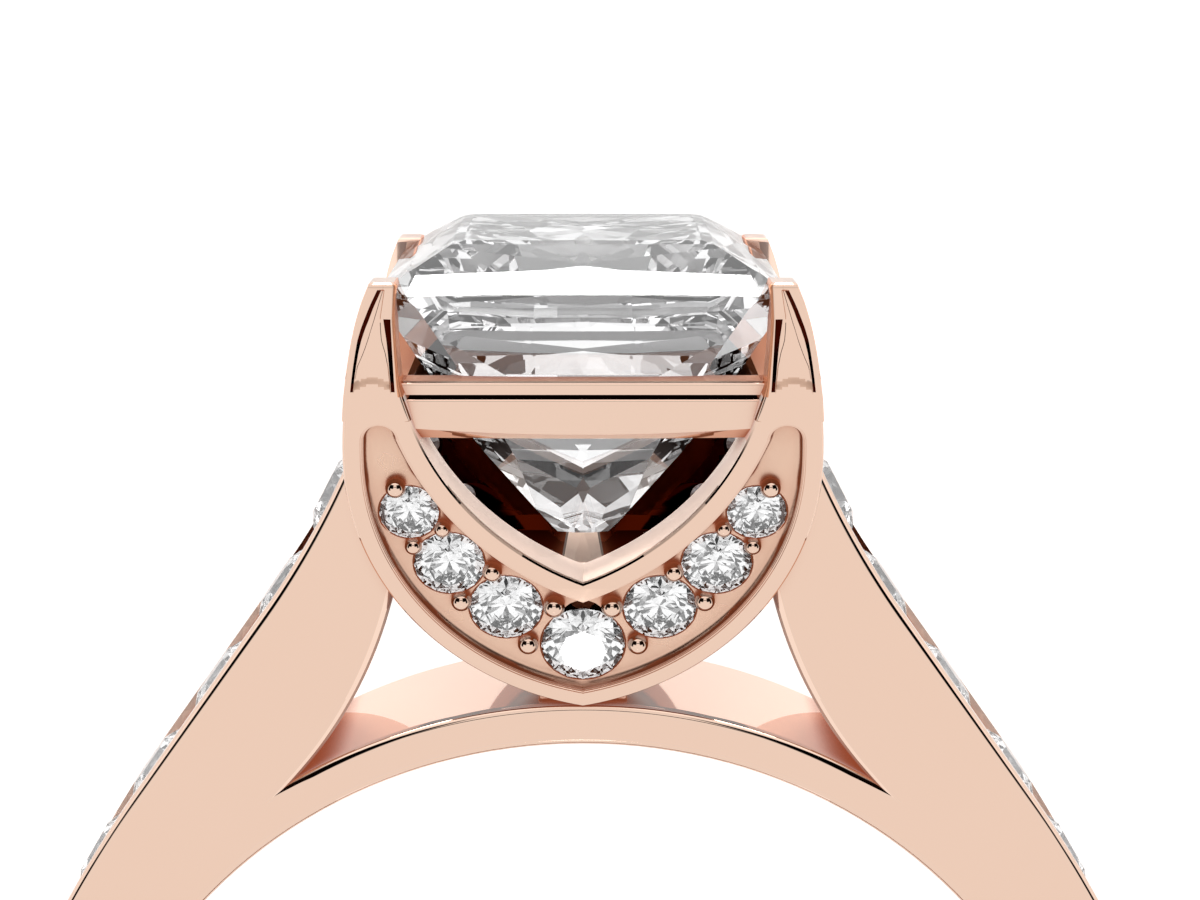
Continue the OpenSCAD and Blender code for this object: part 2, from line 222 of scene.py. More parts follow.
def plate(name, outlines, thickness, rounding=0.0, steps=2, grow=0.0):
    """A filled flat curve, thickened, with rounded edges. It lies on z = 0, half above and half below."""
    curve = bpy.data.curves.new(name, "CURVE")
    curve.dimensions = "2D"
    curve.fill_mode = "BOTH"
    for points in outlines:
        spline = curve.splines.new("POLY")
        spline.points.add(len(points) - 1)
        for point, (x, y) in zip(spline.points, points):
            point.co = (x, y, 0, 1)
        spline.use_cyclic_u = True
    curve.extrude = thickness / 2 - rounding
    curve.bevel_depth = rounding
    curve.bevel_resolution = steps
    curve.offset = grow - rounding
    piece = bpy.data.objects.new(name, curve)
    bpy.context.collection.objects.link(piece)
    select_only(piece)
    bpy.ops.object.convert(target="MESH")
    return weld(bpy.context.view_layer.objects.active)


def turned(name, profile, sides):
    """A solid turned on z, from (radius, height) pairs, lowest first."""
    radius, height = profile[0]
    select_none()
    bpy.ops.mesh.primitive_circle_add(vertices=sides, radius=radius, fill_type="NGON",
                                      location=(0, 0, height))
    piece = bpy.context.object
    piece.name = name
    edit(piece)
    bpy.ops.mesh.select_all(action="SELECT")
    for next_radius, next_height in profile[1:]:
        bpy.ops.mesh.extrude_region_move(TRANSFORM_OT_translate={"value": (0, 0, next_height - height)})
        grow = next_radius / radius
        bpy.ops.transform.resize(value=(grow, grow, 1))
        radius, height = next_radius, next_height
    leave_edit()
    put(piece, Matrix.Identity(4))
    return weld(piece)


def lofted(name, sections):
    """A solid bridged between closed loops of points, all with the same count."""
    loops = []
    for points in sections:
        select_none()
        bpy.ops.mesh.primitive_circle_add(vertices=len(points), fill_type="NOTHING")
        ring = bpy.context.object
        for vertex, point in zip(ring.data.vertices, points):
            vertex.co = point
        loops.append(ring)
    piece = join(name, loops)
    edit(piece)
    bpy.ops.mesh.select_mode(type="EDGE")
    bpy.ops.mesh.select_all(action="SELECT")
    bpy.ops.mesh.bridge_edge_loops()
    bpy.ops.mesh.select_all(action="SELECT")
    bpy.ops.mesh.fill_holes(sides=0)
    leave_edit()
    return weld(piece)


def arc(centre, radius, start, end, steps):
    """Points on an arc; angles in degrees, anticlockwise from x."""
    turns = [math.radians(start + (end - start) * i / steps) for i in range(steps + 1)]
    return [(centre[0] + radius * math.cos(t), centre[1] + radius * math.sin(t)) for t in turns]


def mirrored(points):
    """The right half's points, then the same ones mirrored, back to the start."""
    left = [(-x, y) for x, y in reversed(points) if abs(x) > 1e-6]
    return points + left


UPRIGHT = Matrix.Rotation(math.radians(90), 4, "X")   # flat drawing to the ring's upright plane
ON_PANEL = Matrix.Translation((0, -FOOT_Y, FOOT_Z)) @ Matrix.Rotation(math.radians(90 + LEAN), 4, "X")
TO_BACK = Matrix.Scale(-1, 4, Vector((0, 1, 0)))
TO_LEFT = Matrix.Scale(-1, 4, Vector((1, 0, 0)))


# Outlines

def facing(angle):
    return Vector((math.sin(math.radians(angle)), math.cos(math.radians(angle))))


LOW_CENTRE = (BAND_R - LOW_CURVE_R) * facing(SHOULDER_ANGLE)
LOW_JOINT = LOW_CENTRE + LOW_CURVE_R * facing(STRAIGHT_ANGLE)
HIGH_JOINT = LOW_JOINT - STRAIGHT * facing(STRAIGHT_ANGLE + 90)
HIGH_CENTRE = HIGH_JOINT + HIGH_CURVE_R * facing(STRAIGHT_ANGLE)
TOP_ANGLE = math.degrees(math.acos((HIGH_CENTRE[1] - SHOULDER_TOP) / HIGH_CURVE_R))
CURVE_END = STRAIGHT + math.radians(TOP_ANGLE - STRAIGHT_ANGLE) * HIGH_CURVE_R


def shoulder_faces(s):
    """The way that the shoulder faces at distance s from the lower end of its straight stretch."""
    if s < 0:
        return STRAIGHT_ANGLE - math.degrees(s / LOW_CURVE_R)
    if s < STRAIGHT:
        return STRAIGHT_ANGLE
    return STRAIGHT_ANGLE + math.degrees((s - STRAIGHT) / HIGH_CURVE_R)


def shoulder_point(s, out=0.0):
    way = facing(shoulder_faces(s))
    if s < 0:
        return LOW_CENTRE + (LOW_CURVE_R + out) * way
    if s < STRAIGHT:
        return LOW_JOINT - s * facing(STRAIGHT_ANGLE + 90) + out * way
    return HIGH_CENTRE - (HIGH_CURVE_R - out) * way


def spread(start, end, steps):
    return [start + (end - start) * i / steps for i in range(steps + 1)]


def band_outline():
    low = -math.radians(SHOULDER_ANGLE - STRAIGHT_ANGLE) * LOW_CURVE_R
    places = spread(CURVE_END, STRAIGHT, 16) + spread(0, low, 16)
    right = [(SHOULDER_IN, SHOULDER_TOP)] + [tuple(shoulder_point(s)) for s in places]
    hoop = [tuple(BAND_R * facing(a)) for a in spread(SHOULDER_ANGLE, 180, 72)[1:]]
    bridge = [tuple(BRIDGE_R * facing(a)) for a in spread(0, 29.98, 24)]
    arm = arc(ARM_CENTRE, ARM_R, 220.9, 191.99, 24)
    return mirrored(bridge[:-1] + arm + right + hoop)


def two_arcs(shape, inset=0.0, top=None):
    """Right-hand side of a pointed outline, from its tip up to height top."""
    side, up, radius = shape
    radius -= inset
    start = -math.degrees(math.acos(side / radius))
    end = math.degrees(math.asin((top - up) / radius))
    return arc((-side, up), radius, start, end, 40)


def panel_outline():
    lower = two_arcs(OUTLINE, top=OUTLINE[1])
    upper = arc((-UPPER[0], UPPER[1]), UPPER[2], 0, 12, 12)
    inner = two_arcs(WINDOW, top=upper[-1][1])
    return mirrored(lower + upper[1:] + inner[::-1])


def recess_outline():
    end_at, end_r = (3.053, 4.86), 0.242
    lower = two_arcs(OUTLINE, OUTER_RIM, OUTLINE[1])
    upper = arc((-UPPER[0], UPPER[1]), UPPER[2] - OUTER_RIM, 0, 3.6, 4)
    inner = two_arcs(WINDOW, -INNER_RIM, end_at[1])
    return mirrored(lower + upper[1:] + arc(end_at, end_r, 8, 172, 16) + inner[::-1])


# Metal

def seat_cutter(d, lapped):
    """The room of a round diamond; a lapped one is open at the back and closes over the crown."""
    r = d / 2 + SEAT_GAP
    low = -GIRDLE * d / 2 - SEAT_GAP
    if lapped:
        hole, top = 0.21 * d, GIRDLE * d / 2 + SEAT_GAP
        profile = [(hole, -1.6), (hole, -0.30 * d), (r, low), (r, top),
                   (TABLE * d / 2 + SEAT_GAP, top + CROWN * d)]
    else:
        flare, top = math.radians(20), 0.03 * d
        profile = [(0.04 * d, low - PAVILION * d - SEAT_GAP), (r, low), (r, top),
                   (r + math.tan(flare), top + 1)]
    return turned("seat", profile, 64)


def chamfer_rim(band):
    """Makes the rounding of the outer rim a chamfer with a small rounding of its own at the face."""
    base = BAND_W / 2 - BAND_EDGE
    first_rise, roundness = 0.154, 1.6
    for vertex in band.data.vertices:
        x, y, z = vertex.co
        up = (abs(y) - base) / BAND_EDGE
        shoulder = math.hypot(abs(x) - ARM_CENTRE[0], z - ARM_CENTRE[1]) < ARM_R + 0.3
        outer = math.hypot(x, z) > BAND_R - BAND_EDGE - 0.02 and not shoulder
        if not outer or not 0.01 < up < 0.999:
            continue
        inset = 1 - math.sqrt(1 - up * up)
        rise = min(inset + first_rise, 1 - roundness * (1 - inset) ** 2)
        vertex.co.y = math.copysign(base + BAND_EDGE * rise, y)


def make_band():
    bore = arc((0, 0), BORE_R, 0, 360, 180)[:-1]
    band = put(plate("band", [band_outline(), bore], BAND_W, BAND_EDGE, 16), UPRIGHT)
    chamfer_rim(band)
    places = [CHANNEL_END] + spread(CHANNEL_END + 0.16, 0, 10) + spread(STRAIGHT, CURVE_END + 0.3, 16)
    floor = [tuple(shoulder_point(s, -CHANNEL_DEEP)) for s in places]
    over = [tuple(shoulder_point(s, 1.0)) for s in reversed(places)]
    channel = put(plate("channel", [floor + over], CHANNEL_W), UPRIGHT)
    other = copy_at(channel, TO_LEFT)
    combine(band, join("channels", [channel, other]), "DIFFERENCE")
    seat = seat_cutter(SHOULDER_STONE_D, lapped=False)
    seats = []
    for s, depth in SHOULDER_STONES:
        x, z = shoulder_point(s, -depth)
        place = Matrix.Translation((x, 0, z)) @ Matrix.Rotation(math.radians(shoulder_faces(s)), 4, "Y")
        seats += [copy_at(seat, place), copy_at(seat, TO_LEFT @ place)]
    bpy.data.objects.remove(seat)
    combine(band, join("seats", seats), "DIFFERENCE")
    return band


def make_rib():
    """A rib on the inside of the crescent, widest at the foot, that ends below the window."""
    edge, root = 0.04, -0.5
    sections = []
    for up, half, proud in RIB:
        deep = -PANEL_T - proud
        sections.append([(half, up, root), (half, up, deep + edge), (half - edge, up, deep),
                         (edge - half, up, deep), (-half, up, deep + edge), (-half, up, root)])
    return lofted("rib", sections)


def make_panel():
    """The front crescent, flat: its face on z = 0."""
    plain = plate("panel", [panel_outline()], PANEL_T, PANEL_EDGE)
    panel = put(plain, Matrix.Translation((0, 0, -PANEL_T / 2)))
    edit(panel)
    bpy.ops.mesh.select_all(action="SELECT")
    bpy.ops.mesh.bisect(plane_co=(0, PANEL_CUT, 0), plane_no=(0, 1, 0), use_fill=True, clear_outer=True)
    leave_edit()
    weld(panel)
    combine(panel, make_rib(), "UNION")
    tall, floor_edge = 1.0, 0.10
    floor = plate("floor", [recess_outline()], tall, floor_edge, 4)
    combine(panel, put(floor, Matrix.Translation((0, 0, tall / 2 - RECESS))), "DIFFERENCE")
    for grow, deep in LIP_STEPS:
        lip = plate("lip", [recess_outline()], tall, grow=grow)
        combine(panel, put(lip, Matrix.Translation((0, 0, tall / 2 - deep))), "DIFFERENCE")
    pocket = plate("pocket", [POCKET], 0.6)
    combine(panel, put(pocket, Matrix.Translation((0, 0, 0.3 - POCKET_DEEP))), "DIFFERENCE")
    for x, up, d in PANEL_STONES:
        seat = seat_cutter(d, lapped=True)
        for side in ([1] if x == 0 else [1, -1]):
            combine(panel, copy_at(seat, Matrix.Translation((side * x, up, -RECESS))), "DIFFERENCE")
        bpy.data.objects.remove(seat)
    return panel


def make_bead(d):
    """A raised bead: a ball on a short neck."""
    cut, neck, taper = 0.25 * d, 0.12, 0.86
    select_none()
    bpy.ops.mesh.primitive_uv_sphere_add(segments=32, ring_count=20, radius=d / 2)
    bead = bpy.context.object
    edit(bead)
    bpy.ops.mesh.select_all(action="SELECT")
    bpy.ops.mesh.bisect(plane_co=(0, 0, -cut), plane_no=(0, 0, 1), use_fill=True, clear_inner=True)
    bpy.ops.mesh.select_all(action="DESELECT")
    bpy.ops.mesh.select_mode(type="FACE")
    leave_edit()
    for face in bead.data.polygons:
        face.select = face.normal.z < -0.99 and len(face.vertices) > 8
    edit(bead)
    bpy.ops.mesh.extrude_region_move(TRANSFORM_OT_translate={"value": (0, 0, -neck)})
    bpy.ops.transform.resize(value=(taper, taper, 1))
    leave_edit()
    return weld(bead)


def prong_front(z):
    """How far forward the prong's face is at height z, with its lean and its bend."""
    if z < BEND_Z:
        return FOOT_Y + (z - FOOT_Z) * math.tan(math.radians(LEAN))
    return HEAD_Y - (BEND_R - math.sqrt(BEND_R ** 2 - (z - BEND_Z) ** 2))


# Carving on the front of a prong, one row a height. Across from the outside:
# outer edge, lip and foot of the outer flute, ridge, foot and lip of the inner
# flute, inner edge; then the depths of the two flutes, and the two creases, as
# parts of the way from the ridge to a flute.
CARVING = [
    # z      edge   lip    foot   ridge  foot   lip    edge   outer  inner  crease crease
    (14.100, 3.599, 3.490, 3.440, 3.130, 2.840, 2.780, 2.556, 0.024, 0.028, 0.96, 0.96),
    (14.457, 3.564, 3.465, 3.420, 3.130, 2.842, 2.785, 2.660, 0.024, 0.028, 0.96, 0.96),
    (14.640, 3.540, 3.442, 3.402, 3.125, 2.850, 2.793, 2.710, 0.024, 0.028, 0.96, 0.96),
    (14.770, 3.523, 3.426, 3.386, 3.119, 2.861, 2.800, 2.725, 0.028, 0.030, 0.96, 0.96),
    (14.950, 3.495, 3.400, 3.358, 3.110, 2.872, 2.808, 2.740, 0.030, 0.032, 0.92, 0.94),
    (15.160, 3.460, 3.365, 3.320, 3.100, 2.888, 2.818, 2.758, 0.031, 0.034, 0.66, 0.82),
    (15.340, 3.425, 3.330, 3.274, 3.085, 2.906, 2.826, 2.766, 0.032, 0.036, 0.50, 0.60),
    (15.520, 3.383, 3.275, 3.211, 3.064, 2.932, 2.834, 2.774, 0.032, 0.038, 0.40, 0.56),
    (15.620, 3.357, 3.236, 3.168, 3.048, 2.946, 2.838, 2.777, 0.032, 0.038, 0.34, 0.54),
    (15.680, 3.340, 3.212, 3.145, 3.038, 2.946, 2.838, 2.777, 0.032, 0.000, 0.31, 0.53),
    (15.780, 3.310, 3.172, 3.107, 3.014, 2.940, 2.832, 2.777, 0.032, 0.000, 0.28, 0.55),
    (15.900, 3.270, 3.118, 3.054, 2.988, 2.930, 2.825, 2.770, 0.032, 0.000, 0.24, 0.58),
    (16.060, 3.205, 3.040, 2.978, 2.945, 2.920, 2.818, 2.755, 0.032, 0.000, 0.24, 0.60),
    (16.120, 3.180, 3.012, 2.965, 2.945, 2.920, 2.815, 2.740, 0.032, 0.000, 0.24, 0.60),
]
LEDGE_Z = 14.74        # middle of the ledge that ends the carving below
LEDGE_DROP = 0.12      # how much lower its two ends are
LEDGE_H = (0.13, 0.09)   # in the middle, and what the ends have more
LEDGE_SPAN = (14.5, 14.86)
SHADED_FLUTE = (14.58, 16.07)
INNER_FLUTE_TOP = 15.65
CARVING_TOP = 16.075
PANEL_DEEP = 0.023     # the carved panel between the creases
CREASE = (0.0045, 0.007)   # half the width of a crease, and its depth


def carving_at(z):
    z = max(z, CARVING[0][0])
    for low, high in zip(CARVING, CARVING[1:]):
        if z <= high[0]:
            k = (z - low[0]) / (high[0] - low[0])
            return [a + (b - a) * k for a, b in zip(low[1:], high[1:])]
    return list(CARVING[-1][1:])


def smooth(value):
    value = min(max(value, 0), 1)
    return value * value * (3 - 2 * value)


def prong_section(z, inset=0.0):
    """The outline of a prong at height z, all its points level with its lean; inset draws it in."""
    outer, lip_1, foot_1, ridge, foot_2, lip_2, inner, deep_1, deep_2, crease_1, crease_2 = carving_at(z)
    edge, waist = 0.015, 0.30
    side = min(0.11, lip_2 - inner - 0.004)
    top = smooth((CARVING_TOP - z) / 0.02 + 0.5)

    def sunk(foot, deep, crease):
        """Points from the ridge to a flute, below the carving's top and above its ledge."""
        half = CREASE[0] / abs(foot - ridge)
        floor = min(PANEL_DEEP + CREASE[1], deep)
        places = [(0, PANEL_DEEP), (crease / 3, PANEL_DEEP), (crease * 2 / 3, PANEL_DEEP),
                  (crease - half, PANEL_DEEP), (crease + half, floor), (1, deep)]
        points = []
        for k, depth in places:
            ledge = (z - LEDGE_Z + LEDGE_DROP * k * k) / (LEDGE_H[0] + LEDGE_H[1] * k * k)
            points.append((ridge + (foot - ridge) * k, depth * top * smooth(ledge + 0.5)))
        return points

    round_side = [(inner + side * (1 - math.sin(t)), side * (1 - math.cos(t)))
                  for t in (math.radians(18 * i) for i in range(6))]
    across = [(outer, PANEL_T), (outer, waist), (outer, edge), (outer - edge, 0),
              ((outer + lip_1) / 2, 0), (lip_1, 0)]
    across += sunk(foot_1, deep_1, crease_1)[::-1] + sunk(foot_2, deep_2, crease_2)[1:]
    across += [(lip_2, 0)] + round_side + [(inner, waist), (inner, PANEL_T)]
    middle = (outer + inner) / 2
    front = prong_front(z)
    straighten = min(max((z - (BEND_Z - 0.3)) / 0.5, 0), 1)
    lean = math.radians(LEAN) * (1 - straighten)
    points = []
    for x, deep in across:
        if inset:
            x = middle + (x - middle) * (1 - 2 * inset / (outer - inner))
            deep = inset + deep * (1 - 2 * inset / PANEL_T)
        points.append((x, -front + deep * math.cos(lean), z + deep * math.sin(lean)))
    return points


def make_prong():
    foot = FOOT_Z + PANEL_CUT * math.cos(math.radians(LEAN))
    ledge = spread(14.49, 14.85, 18)
    carved = spread(14.90, 16.05, 23)
    carving_end = [CARVING_TOP - 0.01, CARVING_TOP, CARVING_TOP + 0.01, 16.10, 16.12]
    sections = [prong_section(z) for z in [foot, CARVING[1][0]] + ledge + carved + carving_end]
    for below_top, inset in ((0.025, 0.012), (0, 0.05)):
        sections.append(prong_section(PRONG_TOP - below_top, inset))
    return lofted("prong", sections)


# Faces with a material of their own, most of them painted light or shade, by place and outward direction in
# the upright ring

DARK_INSIDE = (10, 14.6)   # heights between which the inside of the head is painted dark
BRIDGE_LOW = 7.5           # height above which a face belongs to the bridge or a shoulder


def faces_inwards(place, way):
    """Faces below the girdle that look into the head, painted dark there as shade."""
    from_front = way.y * place.y < -0.5 * abs(place.y)
    from_side = way.x * place.x < -0.9 * abs(place.x) and abs(place.x) < 3.3
    inwards = from_front or from_side
    return inwards and DARK_INSIDE[0] < place.z < DARK_INSIDE[1] and not on_rib(place, way)


def on_rib(place, way):
    """The rib behind a panel, which catches light from below."""
    return abs(place.x) < 0.65 and on_crescent(place)[1] > PANEL_T + 0.02


def back_of_tip(place, way):
    """The back of a prong beside the large diamond."""
    return way.y * place.y < -0.5 * abs(place.y) and place.z > DARK_INSIDE[1]


def on_window_wall(place, way):
    """The wall of the pointed window, which looks up and towards the middle."""
    reach = math.hypot(abs(place.x) + WINDOW[0], on_crescent(place)[0] - WINDOW[1])
    return abs(reach - WINDOW[2]) < 0.02 and abs(way.y) < 0.4 and way.z > 0


def on_band_face(place, way):
    """The flat front and back of the band."""
    return abs(way.y) > 0.995 and abs(place.y) > 1.5


def on_crescent_face(place, way):
    """The flat face and its roundings, but not the mirror-like rims near the middle."""
    rim_too = place.z > 14.4 or abs(place.x) > 0.9
    return way.y * place.y > (0.8 if rim_too else 0.95) * abs(place.y)


def in_rail_groove(place, way):
    """The groove below a rail's lip, and what borders on it."""
    return GALLERY_H - 0.27 < place.z - GALLERY_Z < GALLERY_H - 0.19


def on_rail_top(place, way):
    """The seat of the large diamond, on top of a rail."""
    return way.z > 0.9 and place.z > GALLERY_Z + GALLERY_H - 0.01


def on_crescent(place):
    """Height up a crescent's face, and depth behind it."""
    lean = math.radians(LEAN)
    over, out = place.z - FOOT_Z, abs(place.y) - FOOT_Y
    return over * math.cos(lean) + out * math.sin(lean), over * math.sin(lean) - out * math.cos(lean)


def in_recess(place, way):
    """The sunk floor of a crescent and its walls."""
    up, depth = on_crescent(place)
    from_rim = OUTLINE[2] - math.hypot(abs(place.x) + OUTLINE[0], up - OUTLINE[1])
    from_window = math.hypot(abs(place.x) + WINDOW[0], up - WINDOW[1]) - WINDOW[2]
    within = from_rim > 0.17 and from_window > 0.17 and up < PANEL_CUT
    return within and 0.07 < depth < RECESS + 0.03 and way.y * place.y > 0


def in_pocket(place, way):
    """The hole above the lowest diamond."""
    up, depth = on_crescent(place)
    return abs(place.x) < 0.41 and 1.44 < up < 1.94 and RECESS + 0.02 < depth < 0.52


def in_flute(place, way):
    """The steep side of a prong's flutes."""
    if not SHADED_FLUTE[0] < place.z < SHADED_FLUTE[1] or way.y * place.y < 0:
        return False
    lip_1, foot_1, _, foot_2, lip_2 = carving_at(place.z)[1:6]
    x = abs(place.x)
    return foot_1 < x < lip_1 or (lip_2 < x < foot_2 and place.z < INNER_FLUTE_TOP)


def on_ledge(place, way):
    """The low step where the carving of a prong ends."""
    level = LEDGE_SPAN[0] < place.z < LEDGE_SPAN[1]
    return level and way.y * place.y > 0.5 * abs(place.y) and way.z > 0.12


def beside_stone(place, way):
    """The inner side of a prong, next to the large diamond."""
    return place.z > 14.5 and way.x * place.x < -0.35 * abs(place.x) and abs(place.x) < 2.9


def in_channel(place, way):
    """The floor and walls of a shoulder's channel."""
    along = place.z > shoulder_point(CHANNEL_END)[1] and abs(place.x) > SHOULDER_IN + 0.01
    if not along or abs(place.y) > CHANNEL_W / 2 + 0.01:
        return False
    return way.x * place.x > 0.3 * abs(place.x) or abs(way.y) > 0.9


def on_arm(place, way):
    """The side of a shoulder that the bridge mirrors."""
    return place.z > BRIDGE_LOW and abs(place.x) < 5.7 and way.x * place.x < -0.2 * abs(place.x)


def on_bridge(place, way):
    """The top of the bridge below the head."""
    near = abs(math.hypot(place.x, place.z) - BRIDGE_R) < 0.05
    return near and way.z > 0.8 and place.z > BRIDGE_LOW


def make_rail(name, out, long):
    """A gallery rail across the front: a grooved bar whose lower edge has a bowed chamfer."""
    lip = GALLERY_H - 0.20
    groove, groove_end = lip - 0.06, 0.34
    rounding, lip_back = 0.05, 0.02
    soft = [(rounding - r, groove - rounding + z) for r, z in arc((0, 0), rounding, 0, 90, 6)]
    profile = [(0, 0)] + soft
    profile += [(groove_end, groove), (groove_end, lip), (lip_back, lip), (lip_back, lip + 0.145)]
    profile += [(0.03, lip + 0.165), (0.05, GALLERY_H - 0.02), (0.08, GALLERY_H)]
    profile += [(GALLERY_T, GALLERY_H), (GALLERY_T, 0)]
    rail = plate(name, [profile], long)
    turn = Matrix(((0, 0, 1, 0), (1, 0, 0, -out), (0, 1, 0, GALLERY_Z), (0, 0, 0, 1)))
    weld(put(rail, turn))
    bow_r, nip = 48.0, 0.075
    away = Vector((0, -1, -1)).normalized()
    middle = Vector((0, -out, GALLERY_Z)) - away * (bow_r + nip / math.sqrt(2))
    select_none()
    bpy.ops.mesh.primitive_cylinder_add(vertices=1440, radius=bow_r, depth=8, location=middle,
                                        rotation=(math.radians(45), 0, 0))
    return combine(rail, put(bpy.context.object, Matrix.Identity(4)), "INTERSECT")


def make_block(name, size, middle, edge):
    """Plain metal that joins other pieces, with softened edges."""
    select_none()
    bpy.ops.mesh.primitive_cube_add(size=1, location=middle)
    block = bpy.context.object
    block.name = name
    block.scale = size
    put(block, Matrix.Identity(4))
    return bevel(block, edge, 3)


# Large diamond

def facet(slope, turn, point):
    """A facet as its outward direction and its distance; slope is from level, negative below the girdle."""
    tip, turn = math.radians(abs(slope)), math.radians(turn)
    up = math.cos(tip) if slope > 0 else -math.cos(tip)
    way = Vector((math.sin(tip) * math.cos(turn), math.sin(tip) * math.sin(turn), up))
    return way, way.dot(Vector(point))


def trim(one, other, depth):
    """A narrow facet along the edge between two others."""
    way = one[0] + other[0]
    return way.normalized(), (one[1] + other[1]) / way.length - depth


def cut_facet(stone, cut, side):
    way = Matrix.Rotation(math.radians(side), 3, "Z") @ cut[0]
    bpy.ops.mesh.select_all(action="SELECT")
    bpy.ops.mesh.bisect(plane_co=way * cut[1], plane_no=way, use_fill=True, clear_outer=True)


def crown_facet(shape, sign):
    slope, turn, across, up = shape
    return facet(slope, sign * turn, (across, 0, up))


def side_facets():
    """Facets of one side of the stone, from the table to the culet; each pair leans left and right."""
    table = (Vector((0, 0, 1)), STONE_TABLE_Z)
    crown = crown_facet(CROWN_FACET, 1)
    facets = [crown]
    depth = -STONE_GIRDLE
    lower = []
    for row, (slope, turn, reach) in enumerate(PAVILION_TIERS):
        if row:
            above = PAVILION_TIERS[row - 1]
            across = math.cos(math.radians(above[1])) + math.sin(math.radians(above[1]))
            depth -= (above[2] - reach) * math.tan(math.radians(above[0])) * across
        lower.append([facet(-slope, lean * turn, (reach, lean * reach, depth)) for lean in (1, -1)])
    for lean, sign in enumerate((1, -1)):
        upper, star = crown_facet(UPPER_FACET, sign), crown_facet(STAR_FACET, sign)
        facets += [upper, star, trim(crown, upper, TRIMS["crown"]), trim(upper, star, TRIMS["upper"])]
        facets += [trim(star, table, TRIMS["table"])] + [tier[lean] for tier in lower]
        facets += [trim(high[lean], low[lean], TRIMS["tier"]) for high, low in zip(lower, lower[1:])]
    facets += [trim(left, right, TRIMS["middle"]) for left, right in lower]
    corner = (2 * STONE_HALF - STONE_CORNER) / math.sqrt(2)
    point = (corner * math.cos(math.radians(45)), corner * math.sin(math.radians(45)), 0)
    crown_corner = facet(CORNER_SLOPES[0], 45, point)
    deep_corner = facet(CORNER_SLOPES[1], 45, (point[0], point[1], -STONE_GIRDLE))
    low_corner = facet(CORNER_SLOPES[2], 45, LOW_CORNER)
    return facets + [crown_corner, deep_corner, trim(crown_corner, table, TRIMS["corner"]), low_corner]


def make_large_diamond():
    select_none()
    bpy.ops.mesh.primitive_cube_add(size=1, location=(0, 0, STONE_TABLE_Z - STONE_H / 2))
    stone = bpy.context.object
    stone.scale = (2 * STONE_HALF, 2 * STONE_HALF, STONE_H)
    put(stone, Matrix.Identity(4))
    edit(stone)
    corner = (2 * STONE_HALF - STONE_CORNER) / math.sqrt(2)
    facets = side_facets() + [(Vector((math.sqrt(0.5), math.sqrt(0.5), 0)), corner)]
    for side in (0, 90, 180, 270):
        for cut in facets:
            cut_facet(stone, cut, side)
    leave_edit()
    return put(stone, Matrix.Translation((0, 0, GIRDLE_Z)))


# Materials

def node(tree, kind, **values):
    made = tree.nodes.new(kind)
    for key, value in values.items():
        if key in made.inputs:
            made.inputs[key].default_value = value
        else:
            setattr(made, key, value)
    return made


def feed(tree, socket, value):
    """Links a socket to another node's output, or gives it a value."""
    if isinstance(value, bpy.types.NodeSocket):
        tree.links.new(value, socket)
    else:
        socket.default_value = value


def maths(tree, operation, *values, **settings):
    made = node(tree, "ShaderNodeMath", operation=operation, **settings)
    for socket, value in zip(made.inputs, values):
        feed(tree, socket, value)
    return made.outputs["Value"]


def mixed(tree, factor, low, high, kind="RGBA"):
    """low where the factor is 0, and high where it is 1."""
    made = node(tree, "ShaderNodeMix", data_type=kind)
    for name, value in (("Factor", factor), ("A", low), ("B", high)):
        feed(tree, made.inputs[name], value)
    return made.outputs["Result"]


def ranged(tree, value, start=(0, 1), end=(0, 1), kind="LINEAR"):
    """Takes a value from the range start to the range end, and holds it there."""
    made = node(tree, "ShaderNodeMapRange", interpolation_type=kind)
    for name, number in zip(("From Min", "From Max", "To Min", "To Max"), (*start, *end)):
        made.inputs[name].default_value = number
    tree.links.new(value, made.inputs["Value"])
    return made.outputs["Result"]


def polish_group():
    """Fine wear of a polished surface: hairlines and smudges that shift over it."""
    group = bpy.data.node_groups.new("polish wear", "ShaderNodeTree")
    for name, default in (("Hairline Scale", 9000.0), ("Smudge Scale", 400.0)):
        socket = group.interface.new_socket(name, in_out="INPUT", socket_type="NodeSocketFloat")
        socket.default_value = default
    for name in ("Hairlines", "Smudges"):
        group.interface.new_socket(name, in_out="OUTPUT", socket_type="NodeSocketFloat")
    source = node(group, "NodeGroupInput")
    result = node(group, "NodeGroupOutput")
    place = node(group, "ShaderNodeTexCoord")
    link = group.links.new
    stretched = node(group, "ShaderNodeMapping", Rotation=(0.4, 0.7, 0.3), Scale=(1.0, 0.04, 1.0))
    link(place.outputs["Object"], stretched.inputs["Vector"])
    lines = node(group, "ShaderNodeTexNoise", Detail=4.0, Roughness=0.6)
    link(stretched.outputs["Vector"], lines.inputs["Vector"])
    link(source.outputs["Hairline Scale"], lines.inputs["Scale"])
    link(ranged(group, lines.outputs["Fac"], start=(0.56, 0.72)), result.inputs["Hairlines"])
    patches = node(group, "ShaderNodeTexNoise", Detail=3.0, Roughness=0.55)
    link(place.outputs["Object"], patches.inputs["Vector"])
    link(source.outputs["Smudge Scale"], patches.inputs["Scale"])
    link(patches.outputs["Fac"], result.inputs["Smudges"])
    return group


